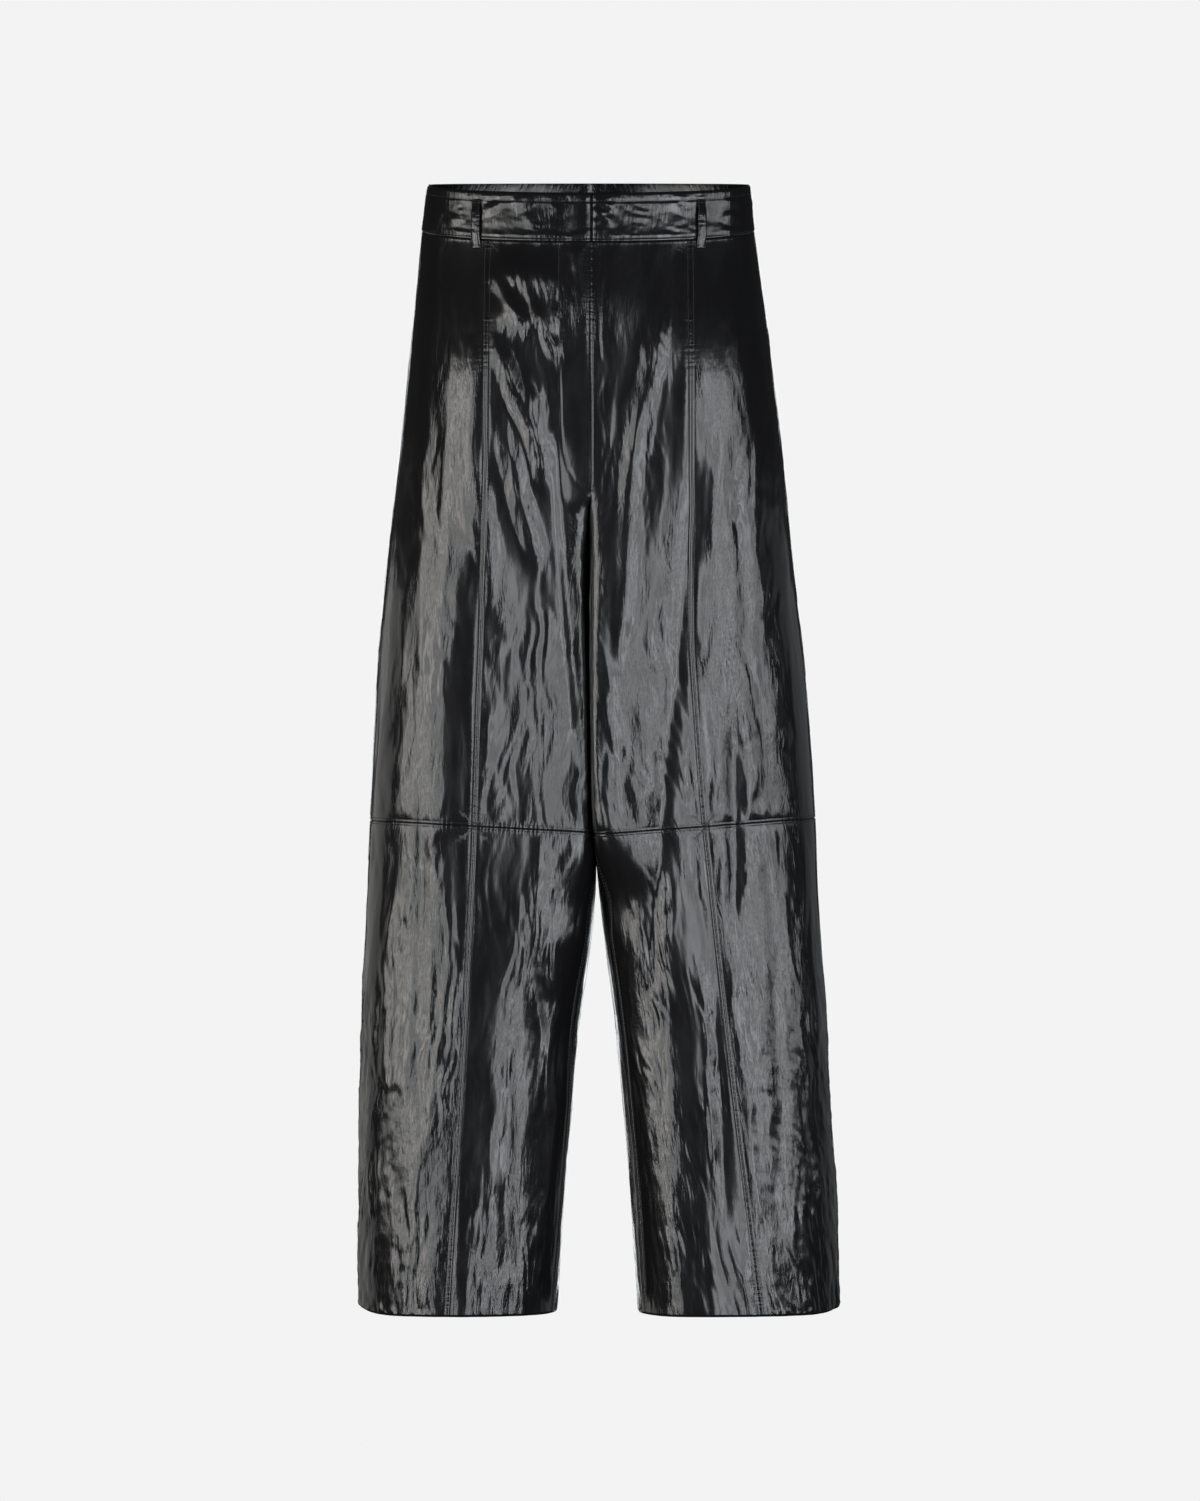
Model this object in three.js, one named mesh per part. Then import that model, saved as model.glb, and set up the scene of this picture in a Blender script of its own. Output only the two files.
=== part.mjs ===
// High-waisted, wide-legged leather trousers, hollow and in the full form that a wearer gives them.
// Millimetres. +Z is up, the front faces -Y and +X is the wearer's left. The origin is the centre of
// the waist, level with the waistband's lower seam at the side seams.
import * as THREE from "three";

// Leather and seams
const WALL = 1.6;
const HEM_WALL = 3.2; // the hem is turned up, so it has two layers
const BAND_WALL = 2.8; // the waistband has two layers
const BAND_PROUD = 0.6; // how far the waistband stands out past the panels
const SEAM_GAP = 0.3;

// Levels down the garment, at the side seams
const BAND_TOP = 43;
const WAIST = 0;
const RISE_CURVE_TOP = -228; // where the centre seam starts to turn under
const CROTCH = -315;
const KNEE = -560;
const HEM_FOLD = -978;
const HEM = -1016;

// How far those seams leave the level
const TOP_DIP = 14; // at the centre front of the waistband's top edge
const WAIST_DIP = 17; // at the centre front of the waistband's seam
const BACK_RISE = 8; // at the centre back of both
const KNEE_SLANT = { right: 5.5, left: 7.5 }; // up at the outside of the leg, down at the inside
const HEM_RISE = 7; // at the outermost point of the hem

const HIP_POWER = 2.1; // how square the section is at the waist and hips (2 is an ellipse)

// Between crotch and knee the left leg's front edge laps a little over the right leg
const LEAN = 2.4;
const LEAN_FULL = -400;
const LEAN_END = -540;
const LEAN_NONE = -610;

// Belt loops
const LOOP_WIDTH = 8.5;
const LOOP_WALL = 1.8;
const LOOP_STAND = 3.4; // the room for a belt
const LOOP_BELOW_TOP = 8;
const LOOP_BELOW_SEAM = 9;
const LOOP_STEPS = 9;
const LOOP_SEAT = 0.5; // the gap under its sewn ends
const LOOP_TACK = 0.02; // the share of its length that is sewn down at each end
const LOOP_RISEN = 0.3; // the share of its length by which it stands off in full
const LOOP_CLEARS_SEAM = 2; // how far below the waistband it has already stepped out over it

// Waistband lap at the centre front
const LAP_X = 1.5; // the right half ends here, just past the centre
const UNDERLAP_RIGHT = 32;
const UNDERLAP_LEFT = 24;

const SIDES = { right: -1, left: 1 };

function table(columns, rows) {
  return rows.map((row) => Object.fromEntries(columns.map((name, i) => [name, row[i]])));
}

// Half widths from the centre line to each side seam, depths in front of it and behind it, and how
// square the outer half of each leg is (2 is an ellipse).
const OUTSIDE = table(
  ["z", "right", "left", "front", "back", "power"],
  [
    [45, 152, 150, 75, 80, 2.2],
    [0, 158, 154.5, 82, 84, 2.2],
    [-65, 164, 163, 97, 103, 2.2],
    [-160, 174, 175, 106.5, 124, 2.25],
    [-255, 184, 185, 108, 126, 2.3],
    [-350, 194.5, 194.5, 103, 112, 2.35],
    [-440, 201, 204, 94, 99, 2.35],
    [-560, 207, 212, 82, 86, 2.3],
    [-630, 209.5, 214.5, 78, 82, 2.3],
    [-725, 214, 221, 75, 79, 2.3],
    [-820, 216, 225.5, 73, 77, 2.3],
    [-912, 217, 232, 72, 75, 2.25],
    [-1020, 217, 235, 71, 73, 2.2],
  ],
);

// Inner edge of each leg from the centre line, how square it is there, how far its front is turned
// outwards (inwards below zero), and how far the inseam has come to the front (0 is the middle of the inside, 1 the very
// front). The right leg crosses the centre line a little at the knee.
const INSIDE = table(
  ["z", "right", "left", "rightPower", "leftPower", "rightTurn", "leftTurn", "rightInseam", "leftInseam"],
  [
    [-228, 0.2, 0.2, 9, 9, 0, 0, 0, 0],
    [-315, 0.2, 0.2, 14, 14, -0.08, 0.09, 0, 0],
    [-440, -1.6, 2.4, 18, 18, -0.12, 0.14, 0.28, 0.3],
    [-536, -2.6, 3.6, 18, 12, -0.11, 0.15, 0.52, 0.56],
    [-600, -5.4, 7.4, 6, 4.5, -0.06, 0.13, 0.59, 0.66],
    [-667, 0, 15, 3.2, 3.2, 0, 0.1, 0.51, 0.59],
    [-743, 10.3, 24.4, 2.4, 2.8, 0, 0.1, 0.45, 0.55],
    [-818, 16.9, 31, 2.4, 2.6, 0, 0.1, 0.35, 0.53],
    [-893, 23.5, 37.6, 2.4, 2.5, 0, 0.1, 0.31, 0.5],
    [-1020, 32, 45.6, 2.4, 2.5, 0, 0.12, 0.4, 0.49],
  ],
);

// The seam that parts each front into a centre and a side panel, from the centre line.
const PANEL_SEAM = table(
  ["z", "right", "left"],
  [
    [0, 95, 93.5],
    [-235, 97, 94],
    [-378, 100.5, 94.5],
    [-440, 103, 98],
    [-560, 107, 107],
    [-700, 114, 121.5],
    [-850, 122.5, 139],
    [-1020, 133, 160.5],
  ],
);

// The largest folds, each a soft ridge, or a trough where its height is below zero. across is the
// distance from the centre line.
const FOLDS = table(
  ["side", "face", "acrossTop", "zTop", "acrossEnd", "zEnd", "height", "breadth"],
  [
    ["right", "front", 92, -80, 50, -200, 2.6, 7],
    ["right", "front", 60, -120, 40, -250, 2, 7],
    ["right", "front", 86, -150, 46, -330, 2.6, 8],
    ["right", "front", 112, -165, 84, -390, 2.4, 8],
    ["right", "front", 62, -640, 30, -900, -3, 9],
    ["right", "front", 118, -860, 119, -1180, 2.2, 13],
    ["left", "front", 73, -20, 32, -270, 2.2, 9],
    ["left", "front", 106, -140, 66, -530, -2.6, 11],
    ["left", "front", 72, -410, 55, -760, -2.8, 11],
    ["left", "front", 133, -420, 134, -700, -3.2, 7],
    ["left", "front", 112, -640, 128, -980, -1.8, 8],
    ["left", "front", 64, -780, 94, -1240, 3, 15],
    ["right", "back", 60, -40, 96, -190, -2.8, 11],
    ["right", "back", 118, -230, 96, -545, 4.2, 14],
    ["right", "back", 66, -300, 62, -550, -4, 13],
    ["right", "back", 150, -300, 154, -540, -3.4, 12],
    ["right", "back", 30, -290, 92, -370, -3.6, 10],
    ["right", "back", 90, -585, 96, -960, 4.4, 15],
    ["right", "back", 130, -600, 138, -900, -4, 13],
    ["right", "back", 50, -590, 66, -940, -3.6, 12],
    ["left", "back", 56, -36, 88, -180, -3, 11],
    ["left", "back", 108, -240, 112, -540, 4, 14],
    ["left", "back", 62, -320, 70, -545, -4.2, 12],
    ["left", "back", 156, -280, 150, -545, -3.2, 12],
    ["left", "back", 28, -300, 84, -390, -3.4, 10],
    ["left", "back", 96, -590, 116, -970, 4.2, 15],
    ["left", "back", 144, -590, 160, -930, -4, 13],
    ["left", "back", 60, -600, 84, -900, -3.8, 12],
  ],
);

const clamp = THREE.MathUtils.clamp;
const lerp = THREE.MathUtils.lerp;
const smoothstep = THREE.MathUtils.smoothstep;

// A smooth curve through one column of a table whose rows run down the garment.
function curve(rows, column) {
  const slope = (i, j) => (rows[j][column] - rows[i][column]) / (rows[j].z - rows[i].z);
  const last = rows.length - 1;
  return (z) => {
    if (z >= rows[0].z) return rows[0][column];
    if (z <= rows[last].z) return rows[last][column];
    const k = rows.findIndex((row) => row.z < z) - 1;
    const step = rows[k + 1].z - rows[k].z;
    const t = (z - rows[k].z) / step;
    const startSlope = slope(Math.max(k - 1, 0), k + 1) * step;
    const endSlope = slope(k, Math.min(k + 2, last)) * step;
    const rise = rows[k + 1][column] - rows[k][column];
    const bend = 3 * rise - 2 * startSlope - endSlope;
    const twist = startSlope + endSlope - 2 * rise;
    return rows[k][column] + startSlope * t + bend * t * t + twist * t * t * t;
  };
}

const outer = { right: curve(OUTSIDE, "right"), left: curve(OUTSIDE, "left") };
const frontDepth = curve(OUTSIDE, "front");
const backDepth = curve(OUTSIDE, "back");
const outerPower = curve(OUTSIDE, "power");
const inner = { right: curve(INSIDE, "right"), left: curve(INSIDE, "left") };
const innerPower = { right: curve(INSIDE, "rightPower"), left: curve(INSIDE, "leftPower") };
const frontTurn = { right: curve(INSIDE, "rightTurn"), left: curve(INSIDE, "leftTurn") };
const inseamShare = { right: curve(INSIDE, "rightInseam"), left: curve(INSIDE, "leftInseam") };
const panelSeamX = { right: curve(PANEL_SEAM, "right"), left: curve(PANEL_SEAM, "left") };

// How far the hips have given way to the fuller fronts and backs of the two thighs, from 0 to 1.
const THIGH_STARTS = -10;
const THIGH_FULL = 140;
const thighShape = (z) => smoothstep(-z, THIGH_STARTS, THIGH_FULL);

// How far the centre seam has turned under: 0 above, 1 at the crotch.
const cleft = (z) => smoothstep(-z, -RISE_CURVE_TOP, -CROTCH);

// How much the legs lean on each other between crotch and knee, from 0 to 1.
const leaning = (z) =>
  smoothstep(-z, -RISE_CURVE_TOP, -LEAN_FULL) * (1 - smoothstep(-z, -LEAN_END, -LEAN_NONE));

// A section's half width and middle on one side.
function half(side, z) {
  const out = outer[side](z);
  const edge = inner[side](z);
  return { out, middle: (out + edge) / 2, reach: (out - edge) / 2 };
}

// The other share of a point on a squared ellipse, from one of its two shares of the half widths.
const otherShare = (share, power) => Math.max(0, 1 - share ** power) ** (1 / power);

// Where the panels change hands round a section, as an angle: -PI at the centre front or the inside of
// the leg, -PI/2 at the middle of the front, 0 at the side seam, PI/2 at the middle of the back.
function frontAngle(side, z, x) {
  const { middle, reach } = half(side, z);
  const share = clamp(Math.abs(x - middle) / reach, 0, 1);
  if (x > middle) return -Math.atan2(otherShare(share, outerPower(z)), share);
  return -Math.PI + Math.atan2(otherShare(share, innerPower[side](z)), share);
}

function inseamAngle(side, z) {
  const share = inseamShare[side](z);
  return -Math.PI + Math.atan2(share, otherShare(share, innerPower[side](z)));
}

const SEAMS = {
  inseam: (side, z) => (z >= CROTCH ? -Math.PI : inseamAngle(side, z)),
  panel: (side, z) => frontAngle(side, z, panelSeamX[side](z)),
  side: () => 0,
  seat: (side, z) => (z >= CROTCH ? Math.PI : SEAMS.inseam(side, z) + 2 * Math.PI),
};

const FOLD_FADE = 0.35; // the share of a fold's length over which each end dies away

// Height of the folds at a point of the front or back.
function foldHeight(side, face, x, z) {
  let height = 0;
  for (const fold of FOLDS) {
    if (fold.side !== side || fold.face !== face) continue;
    const dx = fold.acrossEnd - fold.acrossTop;
    const dz = fold.zEnd - fold.zTop;
    const along = ((x - fold.acrossTop) * dx + (z - fold.zTop) * dz) / (dx * dx + dz * dz);
    const t = clamp(along, 0, 1);
    const away = Math.hypot(x - fold.acrossTop - t * dx, z - fold.zTop - t * dz) / fold.breadth;
    const ends = smoothstep(t, 0, FOLD_FADE) * smoothstep(1 - t, 0, FOLD_FADE);
    height += fold.height * Math.exp(-away * away) * ends;
  }
  return height;
}

// How far a point is moved up or down from its level, between the slants of the seams above and below.
// acrossShare is -1 at the inside of the leg and 1 at the outside, depthShare -1 in front and 1 behind.
function lift(side, acrossShare, depthShare, z) {
  const waist = (depthShare < 0 ? WAIST_DIP : BACK_RISE) * depthShare;
  const top = (depthShare < 0 ? TOP_DIP : BACK_RISE) * depthShare;
  const knee = KNEE_SLANT[side] * acrossShare;
  const hem = HEM_RISE * Math.max(0, acrossShare) ** 10;
  if (z > WAIST) return lerp(waist, top, z / BAND_TOP);
  if (z > KNEE) return lerp(waist, knee, z / KNEE);
  return lerp(knee, hem, (z - KNEE) / (HEM - KNEE));
}

// The garment's outer face without folds: distance from the centre line, depth and their shares.
function section(side, angle, z) {
  const { out, middle, reach } = half(side, z);
  const turn = Math.cos(angle);
  const power = turn > 0 ? outerPower(z) : innerPower[side](z);
  const swell = (Math.abs(turn) ** power + Math.abs(Math.sin(angle)) ** power) ** (-1 / power);
  const acrossShare = turn * swell;
  const level = middle + reach * acrossShare;
  const legShare = Math.abs(Math.sin(angle)) * swell;
  const hipShare = Math.max(0, 1 - (Math.abs(level) / out) ** HIP_POWER) ** (1 / HIP_POWER);
  const fullShare = lerp(hipShare, turn > 0 ? legShare : 1, thighShape(z));
  const depthShare = Math.sign(Math.sin(angle)) * lerp(fullShare, legShare, cleft(z));
  const turned = depthShare < 0 ? frontTurn[side](z) * reach * acrossShare * legShare : 0;
  const depth = depthShare * (depthShare < 0 ? frontDepth(z) : backDepth(z)) + turned;
  const lean = SIDES[side] * LEAN * leaning(z) * depthShare * ((1 - acrossShare) / 2) ** 2;
  return { across: level + lean, depth, acrossShare, depthShare };
}

// Folds die away at the centre seams, at the side seams and under the waistband.
function foldFade(side, at, z) {
  const fromCentre = smoothstep(at.across - inner[side](z), 2, 22);
  const fromSide = smoothstep(Math.abs(at.depthShare), 0.1, 0.45);
  return fromCentre * fromSide * smoothstep(-z, 4, 40);
}

const ANGLE_STEP = 0.004;

function skin(side, angle, z) {
  const at = section(side, angle, z);
  const ahead = section(side, angle + ANGLE_STEP, z);
  const behind = section(side, angle - ANGLE_STEP, z);
  const alongX = ahead.across - behind.across;
  const alongY = ahead.depth - behind.depth;
  const length = Math.hypot(alongX, alongY) || 1;
  const face = at.depth < 0 ? "front" : "back";
  const fold = foldFade(side, at, z) * foldHeight(side, face, at.across, z);
  return new THREE.Vector3(
    SIDES[side] * (at.across + (fold * alongY) / length),
    at.depth - (fold * alongX) / length,
    z + lift(side, at.acrossShare, at.depthShare, z),
  );
}

// The way out of the garment at a point, from its neighbours this far round and this far up and down.
const WAY_OUT_ANGLE = 0.02;
const WAY_OUT_RISE = 1;

function outward(side, angle, z) {
  const limit = z >= CROTCH ? Math.PI : 2 * Math.PI;
  const ahead = skin(side, Math.min(angle + WAY_OUT_ANGLE, limit), z);
  const behind = skin(side, Math.max(angle - WAY_OUT_ANGLE, -Math.PI), z);
  const above = skin(side, angle, Math.min(z + WAY_OUT_RISE, BAND_TOP));
  const below = skin(side, angle, Math.max(z - WAY_OUT_RISE, HEM));
  return ahead.sub(behind).cross(above.sub(below)).multiplyScalar(SIDES[side]).normalize();
}

const evenly = (from, to, steps) => Array.from({ length: steps + 1 }, (_, i) => lerp(from, to, i / steps));

const MEASURING_STEPS = 120;

// Places evenly spread round a section between two angles, by length along the cloth.
// trim cuts the stretch short at its start and its end; a start below zero runs on past it.
function placesRound(side, from, to, z, count, trim) {
  const lengths = [0];
  const angleAt = (k) => lerp(from, to, k / MEASURING_STEPS);
  for (let k = 1; k <= MEASURING_STEPS; k++) {
    const a = section(side, angleAt(k - 1), z);
    const b = section(side, angleAt(k), z);
    lengths.push(lengths[k - 1] + Math.hypot(a.across - b.across, a.depth - b.depth));
  }
  const whole = lengths[MEASURING_STEPS];
  return Array.from({ length: count + 1 }, (_, i) => {
    const along = lerp(trim.start, whole - trim.end, i / count);
    const k = clamp(lengths.findIndex((reached) => reached >= along), 1, MEASURING_STEPS);
    const part = (along - lengths[k - 1]) / (lengths[k] - lengths[k - 1]);
    return along < 0
      ? { angle: from, beyond: -along }
      : { angle: lerp(angleAt(k - 1), angleAt(k), clamp(part, 0, 1)), beyond: 0 };
  });
}

// A leg's front and back turn into its inside at this angle, which each panel there has a column on.
const CORNER = 0.75 * Math.PI;
const CORNER_COLUMNS = 4;

// Places round a panel: by length along its front or back, and by angle from the corner to the seam.
function panelPlaces(side, from, to, z, count, trim) {
  const start = Math.max(from, -CORNER);
  const end = Math.min(to, CORNER);
  const cut = { start: start > from ? 0 : trim.start, end: end < to ? 0 : trim.end };
  const flat = placesRound(side, start, end, z, count, cut);
  const byAngle = (seam, corner) => evenly(seam, corner, CORNER_COLUMNS).map((angle) => ({ angle, beyond: 0 }));
  const first = placesRound(side, from, to, z, count, trim)[0].angle;
  const last = placesRound(side, from, to, z, count, trim)[count].angle;
  return [
    ...(start > from ? byAngle(first, start).slice(0, -1) : []),
    ...flat,
    ...(end < to ? byAngle(end, last).slice(1) : []),
  ];
}

// A closed wall from two grids of points, the outer face and the inner face, row by row downwards.
function wallGeometry(outerRows, innerRows, flip) {
  const rows = outerRows.length;
  const columns = outerRows[0].length;
  const points = [...outerRows.flat(), ...innerRows.flat()];
  const outerAt = (i, j) => i * columns + j;
  const innerAt = (i, j) => rows * columns + outerAt(i, j);
  const index = [];
  const quad = (a, b, c, d) => index.push(...(flip ? [a, b, c, a, c, d] : [a, c, b, a, d, c]));
  for (let i = 0; i < rows - 1; i++) {
    for (let j = 0; j < columns - 1; j++) {
      quad(outerAt(i, j), outerAt(i, j + 1), outerAt(i + 1, j + 1), outerAt(i + 1, j));
      quad(innerAt(i, j), innerAt(i + 1, j), innerAt(i + 1, j + 1), innerAt(i, j + 1));
    }
    quad(outerAt(i, 0), outerAt(i + 1, 0), innerAt(i + 1, 0), innerAt(i, 0));
    const last = columns - 1;
    quad(outerAt(i + 1, last), outerAt(i, last), innerAt(i, last), innerAt(i + 1, last));
  }
  for (let j = 0; j < columns - 1; j++) {
    quad(outerAt(0, j + 1), outerAt(0, j), innerAt(0, j), innerAt(0, j + 1));
    const last = rows - 1;
    quad(outerAt(last, j), outerAt(last, j + 1), innerAt(last, j + 1), innerAt(last, j));
  }
  const geometry = new THREE.BufferGeometry().setFromPoints(points);
  geometry.setIndex(index);
  return geometry;
}

// One cut piece of leather: the stretch of the skin between two seams, at the levels given.
function panel({ side, from, to, levels, columns, trim, places, proud = 0, wall }) {
  const outerRows = [];
  const innerRows = [];
  for (const z of levels) {
    const row = places(side, from(side, z), to(side, z), z, columns, trim).map(({ angle, beyond }) => {
      const point = skin(side, angle, z);
      point.x -= SIDES[side] * beyond;
      return { point, out: outward(side, angle, z) };
    });
    outerRows.push(row.map(({ point, out }) => point.clone().addScaledVector(out, proud)));
    innerRows.push(row.map(({ point, out }) => point.clone().addScaledVector(out, proud - wall(z))));
  }
  return wallGeometry(outerRows, innerRows, side === "right");
}

const HALF_GAP = SEAM_GAP / 2;
const RISE_STEPS = 12;
const UPPER_LEVELS = [
  ...evenly(WAIST - HALF_GAP, RISE_CURVE_TOP, 8),
  ...evenly(RISE_CURVE_TOP, CROTCH, RISE_STEPS).slice(1),
  ...evenly(CROTCH, KNEE + HALF_GAP, 8).slice(1),
];
const LOWER_LEVELS = [...evenly(KNEE - HALF_GAP, HEM_FOLD, 14), ...evenly(HEM_FOLD - 1, HEM, 2)];
const BAND_LEVELS = evenly(BAND_TOP, WAIST + HALF_GAP, 2);
const SEAM_TRIM = { start: HALF_GAP, end: HALF_GAP };
const legWall = (z) => (z < HEM_FOLD ? HEM_WALL : WALL);

const LEATHER = new THREE.MeshStandardMaterial({ color: 0x17171a, roughness: 0.28, metalness: 0 });
const BAND_LEATHER = new THREE.MeshStandardMaterial({ color: 0x131316, roughness: 0.32, metalness: 0 });

const trousers = new THREE.Group();

function sew(name, geometry, material) {
  const piece = new THREE.Mesh(geometry, material);
  piece.name = name;
  trousers.add(piece);
}

const CUTS = table(
  ["name", "from", "to", "columns"],
  [
    ["front_centre", "inseam", "panel", 8],
    ["front_side", "panel", "side", 7],
    ["back", "side", "seat", 12],
  ],
);

for (const side of Object.keys(SIDES)) {
  for (const cut of CUTS) {
    const seams = { from: SEAMS[cut.from], to: SEAMS[cut.to], trim: SEAM_TRIM, places: panelPlaces };
    const shape = { side, ...seams, columns: cut.columns, wall: legWall };
    sew(`${side}_${cut.name}_upper`, panel({ ...shape, levels: UPPER_LEVELS }), LEATHER);
    sew(`${side}_${cut.name}_lower`, panel({ ...shape, levels: LOWER_LEVELS }), LEATHER);
  }
}

// The waistband's right half laps over at the centre front, and the left half stops against it.
const BAND_START = { right: -LAP_X, left: LAP_X + SEAM_GAP };
for (const side of Object.keys(SIDES)) {
  const band = {
    side,
    from: () => -Math.PI,
    to: () => Math.PI,
    levels: BAND_LEVELS,
    columns: 28,
    trim: { start: BAND_START[side], end: HALF_GAP },
    places: placesRound,
    proud: BAND_PROUD,
    wall: () => BAND_WALL,
  };
  sew(`waistband_${side}`, panel(band), BAND_LEATHER);
}

// A point of the front or back by its distance from the centre line, right of it below zero.
function spotAt(face, x, z) {
  const side = x < 0 ? "right" : "left";
  const angle = frontAngle(side, z, Math.abs(x)) * (face === "front" ? 1 : -1);
  return { point: skin(side, angle, z), out: outward(side, angle, z) };
}

// The underlap lies inside both halves of the waistband.
const underlapRows = BAND_LEVELS.map((z) =>
  evenly(-UNDERLAP_RIGHT, UNDERLAP_LEFT, 4).map((x) => spotAt("front", x, z)),
);
const underlapOut = BAND_PROUD - BAND_WALL - SEAM_GAP;
const underlapFace = (by) =>
  underlapRows.map((row) => row.map(({ point, out }) => point.clone().addScaledVector(out, by)));
const underlap = wallGeometry(underlapFace(underlapOut), underlapFace(underlapOut - WALL), false);
sew("waistband_underlap", underlap, BAND_LEATHER);

// Belt loops stand off the waistband between the two ends that are sewn down.
const LOOPS = table(
  ["name", "face", "x"],
  [
    ["front_right", "front", -105],
    ["front_left", "front", 103],
    ["back_right", "back", -82],
    ["back_centre", "back", 0.2],
    ["back_left", "back", 82],
  ],
);

function beltLoop(face, x) {
  const outerRows = [];
  const innerRows = [];
  for (const t of evenly(0, 1, LOOP_STEPS)) {
    const z = lerp(BAND_TOP - LOOP_BELOW_TOP, WAIST - LOOP_BELOW_SEAM, t);
    const { point, out } = spotAt(face, x, z);
    const width = new THREE.Vector3(-out.y, out.x, 0).normalize();
    const seat = LOOP_SEAT + (z > WAIST - LOOP_CLEARS_SEAM ? BAND_PROUD : 0);
    const stand = seat + LOOP_STAND * smoothstep(Math.min(t, 1 - t), LOOP_TACK, LOOP_RISEN);
    const pair = [-LOOP_WIDTH / 2, LOOP_WIDTH / 2].map((w) => point.clone().addScaledVector(width, w));
    outerRows.push(pair.map((edge) => edge.clone().addScaledVector(out, stand + LOOP_WALL)));
    innerRows.push(pair.map((edge) => edge.clone().addScaledVector(out, stand)));
  }
  return wallGeometry(outerRows, innerRows, false);
}

for (const loop of LOOPS) sew(`belt_loop_${loop.name}`, beltLoop(loop.face, loop.x), BAND_LEATHER);

export default trousers;
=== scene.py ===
import math

import bpy
import numpy as np
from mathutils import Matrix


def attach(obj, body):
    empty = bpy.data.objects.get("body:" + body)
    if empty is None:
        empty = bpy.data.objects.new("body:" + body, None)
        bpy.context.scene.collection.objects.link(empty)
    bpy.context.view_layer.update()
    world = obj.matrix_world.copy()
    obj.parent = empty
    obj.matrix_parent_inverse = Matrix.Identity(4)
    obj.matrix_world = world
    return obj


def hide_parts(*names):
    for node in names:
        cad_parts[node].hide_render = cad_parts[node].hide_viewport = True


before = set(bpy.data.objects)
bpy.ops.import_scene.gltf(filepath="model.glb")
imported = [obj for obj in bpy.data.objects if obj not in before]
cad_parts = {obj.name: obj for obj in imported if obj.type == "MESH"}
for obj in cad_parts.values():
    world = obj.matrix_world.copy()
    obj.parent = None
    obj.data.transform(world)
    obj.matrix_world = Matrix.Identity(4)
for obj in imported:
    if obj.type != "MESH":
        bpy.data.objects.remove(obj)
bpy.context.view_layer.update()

# The twelve leather panels: a front centre, a front side and a back for each leg, cut again at the knee.
# Glossy black calf leather, 1.6 mm thick, stitched edge to edge, with the hem turned up inside.
# Sizes are in millimetres, as a cutter would mark them, with the origin at the centre of the waist.
MM = 0.001
WALL = 1.6
HEM_WALL = 3.2
SEAM_GAP = 0.04
HALF_GAP = SEAM_GAP / 2
BAND_TOP = 43
WAIST = 0
RISE_CURVE_TOP = -228
CROTCH = -315
KNEE = -560
HEM_FOLD = -978
HEM = -1016
TOP_DIP = 14
WAIST_DIP = 17
BACK_RISE = 8
KNEE_SLANT = {"right": 5.5, "left": 7.5}
HEM_RISE = 7
HIP_POWER = 2.1
THIGH_STARTS = -10
THIGH_FULL = 140
LEAN = 2.4
LEAN_FULL = -400
LEAN_END = -540
LEAN_NONE = -610
SIDES = {"right": -1, "left": 1}


def columns(names, rows):
    return dict(zip(names.split(), np.array(rows, float).T))


# Half widths from the centre line to each side seam, depths in front of it and behind it, and how
# square the outer half of each leg is.
OUTSIDE = columns(
    "z right left front back power",
    [
        (45, 152, 150, 75, 80, 2.2),
        (0, 158, 154.5, 82, 84, 2.2),
        (-65, 164, 163, 97, 103, 2.2),
        (-160, 174, 175, 106.5, 124, 2.25),
        (-255, 184, 185, 108, 126, 2.3),
        (-350, 194.5, 194.5, 103, 112, 2.35),
        (-440, 201, 204, 94, 99, 2.35),
        (-560, 207, 212, 82, 86, 2.3),
        (-630, 209.5, 214.5, 78, 82, 2.3),
        (-725, 214, 221, 75, 79, 2.3),
        (-820, 216, 225.5, 73, 77, 2.3),
        (-912, 217, 232, 72, 75, 2.25),
        (-1020, 217, 235, 71, 73, 2.2),
    ],
)

# Inner edge of each leg, how square it is there, how far its front is turned outwards (inwards below
# zero), and how far the inseam has come to the front (0 is the middle of the inside, 1 the very front).
INSIDE = columns(
    "z right left right_power left_power right_turn left_turn right_inseam left_inseam",
    [
        (-228, 0.2, 0.2, 9, 9, 0, 0, 0, 0),
        (-315, 0.2, 0.2, 14, 14, -0.08, 0.09, 0, 0),
        (-440, -1.6, 2.4, 24, 24, -0.12, 0.14, 0.28, 0.3),
        (-536, -2.6, 3.6, 24, 16, -0.11, 0.15, 0.52, 0.56),
        (-600, -5.4, 7.4, 6, 4.5, -0.06, 0.13, 0.59, 0.66),
        (-667, 0, 15, 3.2, 3.2, 0, 0.1, 0.51, 0.59),
        (-743, 10.3, 24.4, 2.4, 2.8, 0, 0.1, 0.45, 0.55),
        (-818, 16.9, 31, 2.4, 2.6, 0, 0.1, 0.35, 0.53),
        (-893, 23.5, 37.6, 2.4, 2.5, 0, 0.1, 0.31, 0.5),
        (-1020, 32, 45.6, 2.4, 2.5, 0, 0.12, 0.4, 0.49),
    ],
)

# The seam that parts each front into a centre and a side panel.
PANEL_SEAM = columns(
    "z right left",
    [
        (0, 95, 93.5),
        (-235, 97, 94),
        (-378, 100.5, 94.5),
        (-440, 103, 98),
        (-560, 107, 107),
        (-700, 114, 121.5),
        (-850, 122.5, 139),
        (-1020, 133, 160.5),
    ],
)


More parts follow.
